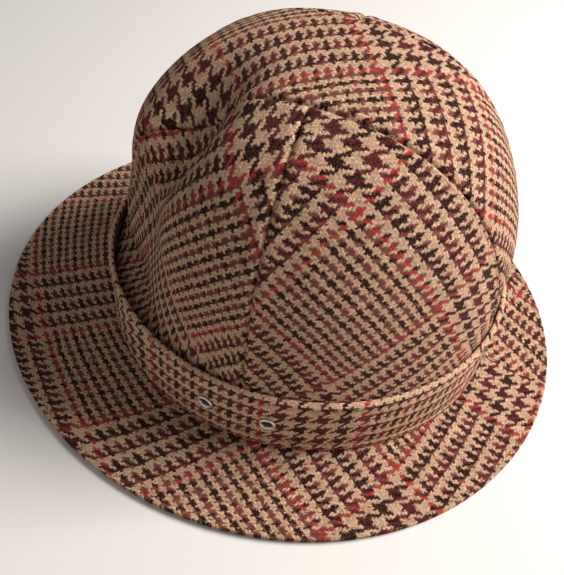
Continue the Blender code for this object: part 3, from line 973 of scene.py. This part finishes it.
# %% [markdown]
# ## The band
# The band is a strip of tweed folded double. Its folded top edge is plump, because the turned-in cloth
# makes a roll there, and a row of stitches below the roll holds it. It stands upright round the crown
# and so it stays clear where the crown's wall has sunk in.

# %% The band
BAND_ROLL_HEIGHT = 4.6 * MM
BAND_ROLL_SWELL = 0.8 * MM
BAND_ROLL_GROOVE = 1.0 * MM
BAND_STITCH_HIGH = BAND_HEIGHT - BAND_ROLL_HEIGHT - 0.6 * MM
BAND_STITCH_LOW = 5.5 * MM
BAND_STITCH_GROOVE = 0.4 * MM
BAND_ROWS = 64


def band_profile():
    """(distance out from the crown, height): up the outer face, over the rolled edge, down the inner."""
    up = np.linspace(0.0, BAND_HEIGHT - BAND_THICKNESS / 2, BAND_ROWS)
    roll = BAND_ROLL_SWELL * bell((up - (BAND_HEIGHT - BAND_ROLL_HEIGHT / 2)) / (BAND_ROLL_HEIGHT / 2.2))
    groove = BAND_ROLL_GROOVE * bell((up - BAND_STITCH_HIGH) / (0.8 * MM))
    groove += BAND_STITCH_GROOVE * bell((up - BAND_STITCH_LOW) / (1.0 * MM))
    out = GAP + BAND_THICKNESS + roll - groove
    outer = list(zip(out, up))
    turn = np.linspace(0.0, math.pi, 9)[1:-1]
    centre, half = GAP + BAND_THICKNESS / 2 + 0.1 * MM, BAND_THICKNESS / 2
    top = [(centre + half * math.cos(t), BAND_HEIGHT - half + half * math.sin(t)) for t in turn]
    inner = [(GAP, h) for h in np.linspace(BAND_HEIGHT - BAND_THICKNESS / 2, 0.0, 20)]
    return np.array(outer + top + inner)


def upright_ring(profile):
    """Points of an upright ring: the crown's outline at each height, moved out by the profile."""
    out, height = profile[:, 0, None], profile[:, 1, None]

    def points(angle):
        level = head_oval(angle + 0.0 * out, -out, height + 0.0 * angle)
        return np.concatenate([level, (CROWN_BASE_Z + height + 0.0 * angle)[..., None]], axis=-1)

    return points


def lay_ring_flat(profile, turn=0.0, shift=(0.0, 0.0)):
    """Distance round the head by distance round the profile, turned and slid on the cloth."""
    steps = np.linalg.norm(np.roll(profile, -1, axis=0) - profile, axis=-1)
    around = np.concatenate([[0.0], np.cumsum(steps)])[:, None]
    radius = (CROWN_HALF_WIDTH + CROWN_HALF_LENGTH) / 2

    def flat(angle):
        x, y = radius * angle + 0.0 * around, around + 0.0 * angle
        u = x * math.cos(turn) + y * math.sin(turn) + shift[0] * THREAD_PITCH
        v = y * math.cos(turn) - x * math.sin(turn) + shift[1] * THREAD_PITCH
        return np.stack([u, v], axis=-1)

    return flat


BAND_SHIFT = (48.1, 40.0)
band_shape = band_profile()
HEAD_ROUND = math.pi * (CROWN_HALF_WIDTH + CROWN_HALF_LENGTH)
band_flat = lay_ring_flat(band_shape, math.pi, BAND_SHIFT)
hat_band = ring_piece("folded_band", upright_ring(band_shape), band_flat, tweed_band)

# %% [markdown]
# ## Inside the hat
# The lining is cut like the crown, from thin satin, and hangs just inside it. A ribbed sweatband stands
# round the head opening, and light canvas stiffens the crown between tweed and lining.


# %% Lining and crown canvas
SATIN_RIPPLE = 0.25 * MM
SATIN_RIPPLE_LENGTH = 34 * MM
SATIN_SEAM_DIP = 0.3 * MM
SATIN_SEAM_REACH = 1.5 * MM


def soft_satin(points, from_seam):
    """Shallow ripples, and a fine valley at each seam."""
    ripple = SATIN_RIPPLE * waves(points, SATIN_RIPPLE_LENGTH, 8)
    return ripple - SATIN_SEAM_DIP * bell(from_seam / SATIN_SEAM_REACH)


def plain(points, from_seam):
    """No relief at all."""
    return np.zeros(points.shape[:-1])


lining_strip = crown_cloth(
    "lining_strip", strip_rays(110, 30, SEAM_GAP), strip_seam_distance, LINING_DEPTH, SATIN, soft_satin,
    "strip", satin_cloth,
)
cloth_piece(lining_strip, ["lining_centre_strip"], turn=panel_turn("strip"))
crown_canvases = {}
for place, side, end in PLACES:
    lining = crown_cloth(
        "lining_" + place, side_rays(side, end, 50, 50, SEAM_GAP), side_seam_distance, LINING_DEPTH, SATIN,
        soft_satin, place, satin_cloth,
    )
    cloth_piece(lining, ["lining_side_" + place], turn=panel_turn(place))
    crown_canvases[place] = crown_cloth(
        "canvas_" + place, side_rays(side, end, 40, 40), side_seam_distance, INTERLINING_DEPTH, CANVAS,
        plain, place, canvas_cloth,
    )
crown_canvases["strip"] = crown_cloth(
    "canvas_strip", strip_rays(80, 16), strip_seam_distance, INTERLINING_DEPTH, CANVAS,
    plain, "strip", canvas_cloth,
)

# %% The sweatband
SWEATBAND_CORNER = 0.3 * MM
SWEATBAND_GROOVE = 0.25 * MM
SWEATBAND_GROOVE_DOWN = 3.0 * MM
SWEATBAND_GROOVE_REACH = 0.7 * MM
sweat_out = -SWEATBAND_DEPTH
sweat_in = sweat_out - SWEATBAND_THICKNESS
low, high = BRIM_RISE - CROWN_BASE_Z, BRIM_RISE - CROWN_BASE_Z + SWEATBAND_HEIGHT
sweat_up = np.linspace(low + SWEATBAND_CORNER, high - SWEATBAND_CORNER, 24)
groove = SWEATBAND_GROOVE * bell((sweat_up - high + SWEATBAND_GROOVE_DOWN) / SWEATBAND_GROOVE_REACH)
inner_side = list(zip(sweat_in + groove, sweat_up))[::-1]
sweat_ends = (sweat_out - SWEATBAND_CORNER, sweat_in + SWEATBAND_CORNER)
sweat_shape = np.array(
    [(sweat_out, h) for h in sweat_up] + [(out, high) for out in sweat_ends]
    + inner_side + [(out, low) for out in sweat_ends[::-1]]
)
sweatband = ring_piece("ribbed_sweatband", upright_ring(sweat_shape), lay_ring_flat(sweat_shape), ribbed_cloth)
cloth_piece(sweatband, ["sweatband"], cut=(HEAD_ROUND, SWEATBAND_HEIGHT))

# %% [markdown]
# ## Eyelets
# Four metal eyelets let air through the sides. Each is a turned tube with a rounded flange outside and
# a rolled lip inside. Real holes are cut for them through the band, the tweed and the canvas.

# %% Eyelet shape
EYELET_HOLE_RADIUS = 2.6 * MM
EYELET_BARREL_RADIUS = 3.0 * MM
EYELET_FLANGE_RADIUS = 4.0 * MM
EYELET_ROLL_RADIUS = 3.7 * MM
EYELET_METAL = 0.5 * MM
FLANGE_RISE = BAND_THICKNESS + 2 * GAP
FLANGE_DOME = 0.75 * MM
ROLL_DEPTH = 3.8 * MM
HOLE_SIDES = 32
HOLE_LENGTH = 24 * MM
CUT_RADIUS = EYELET_BARREL_RADIUS + GAP


def eyelet_profile():
    """(radius, distance outwards) round the metal: hole, inner lip, barrel, and a domed flange."""
    turn = np.linspace(0.0, math.pi, 13)
    middle = (EYELET_HOLE_RADIUS + EYELET_FLANGE_RADIUS) / 2
    half = (EYELET_FLANGE_RADIUS - EYELET_HOLE_RADIUS) / 2
    flange = [(middle + half * math.cos(t), FLANGE_RISE + FLANGE_DOME * math.sin(t)) for t in turn]
    back = -ROLL_DEPTH
    lip = [(EYELET_HOLE_RADIUS, back - EYELET_METAL), (EYELET_ROLL_RADIUS, back - EYELET_METAL)]
    lip += [(EYELET_ROLL_RADIUS, back), (EYELET_BARREL_RADIUS, back), (EYELET_BARREL_RADIUS, FLANGE_RISE)]
    return np.array(lip + flange)


def turned_ring(name, profile, centre, outward, material, columns=48):
    """The profile turned about the outward direction through a centre."""
    side = np.array((-outward[1], outward[0], 0.0))
    angle = np.linspace(0.0, 2.0 * math.pi, columns + 1)
    around = np.cos(angle)[:, None] * side + np.sin(angle)[:, None] * np.array((0.0, 0.0, 1.0))
    points = centre + profile[:, 0, None, None] * around[None] + profile[:, 1, None, None] * outward
    points = points[:, :-1]
    rows = len(profile)
    closed = np.concatenate([points, points[:1]])
    faces, _ = quads(rows + 1, columns, True)
    faces = faces % (rows * columns)
    flat = np.zeros((closed.shape[0] * (columns + 1), 2))
    return add_mesh(name, points.reshape(-1, 3), faces, flat, np.zeros_like(faces), material)


# %% Make the eyelets and cut their holes
def cut_hole(cloth, centre, outward):
    """Takes a round hole for the eyelet's barrel out of a cloth, as a Boolean difference."""
    turn = Vector((*outward[:2], 0.0)).to_track_quat("Z", "Y")
    bpy.ops.mesh.primitive_cylinder_add(
        vertices=HOLE_SIDES, radius=CUT_RADIUS, depth=HOLE_LENGTH, location=centre
    )
    cutter = bpy.context.object
    cutter.rotation_mode = "QUATERNION"
    cutter.rotation_quaternion = turn
    modifier = cloth.modifiers.new("hole", "BOOLEAN")
    modifier.object = cutter
    bpy.context.view_layer.update()
    cut = bpy.data.meshes.new_from_object(cloth.evaluated_get(bpy.context.evaluated_depsgraph_get()))
    cloth.modifiers.clear()
    cloth.data = cut
    bpy.data.objects.remove(cutter)


for place, side, end in PLACES:
    eyelet_low, eyelet_high = (np.array(corner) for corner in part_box("eyelet_" + place))
    middle = (eyelet_low + eyelet_high) / 2
    reach = math.asin(abs(middle[1] - CROWN_CENTRE_Y) / CROWN_HALF_LENGTH)
    angle = end * reach if side > 0 else math.pi - end * reach
    on_crown = head_oval(np.array(angle), 0.0)
    outward = np.array((math.cos(angle) / CROWN_HALF_WIDTH, math.sin(angle) / CROWN_HALF_LENGTH, 0.0))
    outward /= np.linalg.norm(outward)
    centre = np.array((*on_crown, middle[2]))
    eyelet = turned_ring("vent_eyelet_" + place, eyelet_profile(), centre, outward, nickel)
    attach(eyelet, "root")
    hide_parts("eyelet_" + place)
    for cloth in (hat_band, crown_sides[place], crown_canvases[place]):
        cut_hole(cloth, centre, outward)

cloth_piece(hat_band, ["hat_band"], cut=(HEAD_ROUND, BAND_HEIGHT))
for panel, piece in crown_sides.items():
    cloth_piece(piece, ["crown_side_" + panel], turn=panel_turn(panel))
for panel, piece in crown_canvases.items():
    cloth_piece(piece, ["crown_interlining"], turn=panel_turn(panel))

# %% [markdown]
# ## Topstitching
# A stitch is a short piece of thread that dips into the cloth at both ends. Here it is a small
# six-sided tube whose middle rides above the cloth. All stitches of a row are made at once, by
# carrying the same tube to each place along the row.

# %% Stitches
STITCH_LENGTH = 2.7 * MM
STITCH_PITCH = 3.3 * MM
STITCH_RADIUS = 0.2 * MM
STITCH_SIDES = 6
STITCH_LIFT = np.array((-1.6, 0.35, 0.75, 0.35, -1.6)) * STITCH_RADIUS
STITCH_GIRTH = np.array((0.5, 1.0, 1.0, 1.0, 0.5)) * STITCH_RADIUS


def stitches(name, path, up):
    """Stitches along a closed path of points, with an upward direction for each point.

    Each stitch is five rings of six points: STITCH_LIFT is each ring's height, STITCH_GIRTH its radius.
    """
    ahead = np.roll(path, -1, axis=0) - path
    lengths = np.linalg.norm(ahead, axis=-1)
    walked = np.concatenate([[0.0], np.cumsum(lengths)])
    count = int(walked[-1] / STITCH_PITCH)
    starts = np.arange(count) * walked[-1] / count
    rings = len(STITCH_LIFT)
    along = np.linspace(0.0, 1.0, rings)
    places = starts[:, None] + along[None, :] * STITCH_LENGTH
    closed_path, closed_up = (np.concatenate([array, array[:1]]) for array in (path, up))
    at = np.stack([np.interp(places % walked[-1], walked, closed_path[:, k]) for k in range(3)], axis=-1)
    rise = np.stack([np.interp(places % walked[-1], walked, closed_up[:, k]) for k in range(3)], axis=-1)
    way = unit(np.gradient(at, axis=1))
    beside = np.cross(way, rise)
    angle = np.arange(STITCH_SIDES) * 2.0 * math.pi / STITCH_SIDES
    ring = np.cos(angle)[:, None] * beside[:, :, None, :] + np.sin(angle)[:, None] * rise[:, :, None, :]
    points = (at + rise * STITCH_LIFT[:, None])[:, :, None, :] + ring * STITCH_GIRTH[:, None, None]
    each = rings * STITCH_SIDES
    first = (np.arange(count) * each)[:, None, None]
    tube, _ = quads(rings, STITCH_SIDES, True)
    caps = np.stack([np.arange(STITCH_SIDES)[::-1], np.arange(each - STITCH_SIDES, each)])
    side_faces = (tube[None] + first).reshape(-1, 4)
    cap_faces = (caps[None] + first).reshape(-1, STITCH_SIDES)
    mesh = bpy.data.meshes.new(name)
    mesh.from_pydata(points.reshape(-1, 3), [], side_faces.tolist() + cap_faces.tolist())
    close_up(mesh, False)
    piece = show(name, mesh, thread_dark)
    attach(piece, "root")
    print(f"{name}: {count} stitches")
    return piece


turn = ring_turn[:-1]
straight_up = np.tile((0.0, 0.0, 1.0), (len(turn), 1))
for number, row in enumerate(STITCH_ROWS):
    distance = np.full(len(turn), row)
    path = brim_points(turn, distance, BRIM_STACK + brim_relief(turn, distance))
    stitches(f"brim_stitches_{number + 1}", path, straight_up)
outwards = np.stack([np.cos(turn), np.sin(turn), 0.0 * turn], axis=-1)
for label, height in (("low", BAND_STITCH_LOW), ("high", BAND_STITCH_HIGH)):
    out = np.interp(height, band_shape[:BAND_ROWS, 1], band_shape[:BAND_ROWS, 0])
    level = head_oval(turn, -out, height)
    path = np.concatenate([level, np.full((len(turn), 1), CROWN_BASE_Z + height)], axis=-1)
    stitches(f"band_stitches_{label}", path, outwards)

# %% [markdown]
# ## The washers
# The four washers lie hidden between the canvas and the lining. Their CAD solids have the right shape,
# so they stay, and only take the metal's finish.

# %% Washers
for place, _, _ in PLACES:
    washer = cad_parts["eyelet_washer_" + place]
    washer.data.materials.clear()
    washer.data.materials.append(nickel)

# %% [markdown]
# ## Floor, light and camera
# A pale floor and large soft lamps show the cloth without hard shadows. The key light is cool and comes
# from behind on the right of the picture, and a weaker warm one fills from the left. The camera looks
# down on the wearer's left side of the hat.

# %% Stage
FLOOR_DROP = 0.4 * MM
bpy.ops.mesh.primitive_plane_add(size=6.0, location=(0.0, 0.0, -FLOOR_DROP))
floor = bpy.context.object
floor.name = "floor"
floor_make = Recipe("pale_floor")
floor_make.shader.inputs["Base Color"].default_value = linear(226, 222, 216)
floor.data.materials.append(floor_make.finish(0.8))

world = bpy.data.worlds.new("soft_room")
bpy.context.scene.world = world
world.use_nodes = True
world.node_tree.nodes["Background"].inputs["Color"].default_value = linear(226, 230, 238)
world.node_tree.nodes["Background"].inputs["Strength"].default_value = 0.25


LAMPS_FACE = Vector((0.0, 0.0, 0.06))


def soft_lamp(name, place, size, watts, colour):
    """A square area lamp that faces the crown."""
    data = bpy.data.lights.new(name, "AREA")
    data.size = size
    data.energy = watts
    data.color = colour[:3]
    lamp = bpy.data.objects.new(name, data)
    lamp.location = place
    lamp.rotation_euler = (Vector(place) - LAMPS_FACE).to_track_quat("Z", "Y").to_euler()
    bpy.context.scene.collection.objects.link(lamp)


soft_lamp("window", (-0.3, 0.75, 0.85), 0.5, 22.0, linear(250, 246, 244))
soft_lamp("fill", (0.9, -0.5, 0.7), 0.9, 1.1, linear(255, 226, 196))

# %% [markdown]
# The camera stands at an angle round the hat and an angle above it, and is rolled a little. Its three
# axes are worked out from those angles: back towards the camera, right, and up.

# %% Camera
CAMERA_AZIMUTH = math.radians(106.3)
CAMERA_ELEVATION = math.radians(50.05)
CAMERA_ROLL = math.radians(5.11)
CAMERA_DISTANCE = 0.374
CAMERA_TARGET = np.array((0.0212, 0.0084, 0.04))
SENSOR = 36.0
LENS = 45.8

back = np.array(
    (
        math.cos(CAMERA_ELEVATION) * math.sin(CAMERA_AZIMUTH),
        -math.cos(CAMERA_ELEVATION) * math.cos(CAMERA_AZIMUTH),
        math.sin(CAMERA_ELEVATION),
    )
)
level_right = np.array((math.cos(CAMERA_AZIMUTH), math.sin(CAMERA_AZIMUTH), 0.0))
level_up = np.cross(back, level_right)
right = level_right * math.cos(CAMERA_ROLL) + level_up * math.sin(CAMERA_ROLL)
up = level_up * math.cos(CAMERA_ROLL) - level_right * math.sin(CAMERA_ROLL)
camera_data = bpy.data.cameras.new("camera")
camera_data.sensor_width = SENSOR
camera_data.lens = LENS
camera_data.clip_start = 0.01
camera = bpy.data.objects.new("camera", camera_data)
place = CAMERA_TARGET + CAMERA_DISTANCE * back
camera.matrix_world = Matrix(np.column_stack([right, up, back, place]).tolist() + [[0.0, 0.0, 0.0, 1.0]])
bpy.context.scene.collection.objects.link(camera)
bpy.context.scene.camera = camera
bpy.context.scene.view_settings.view_transform = "Standard"
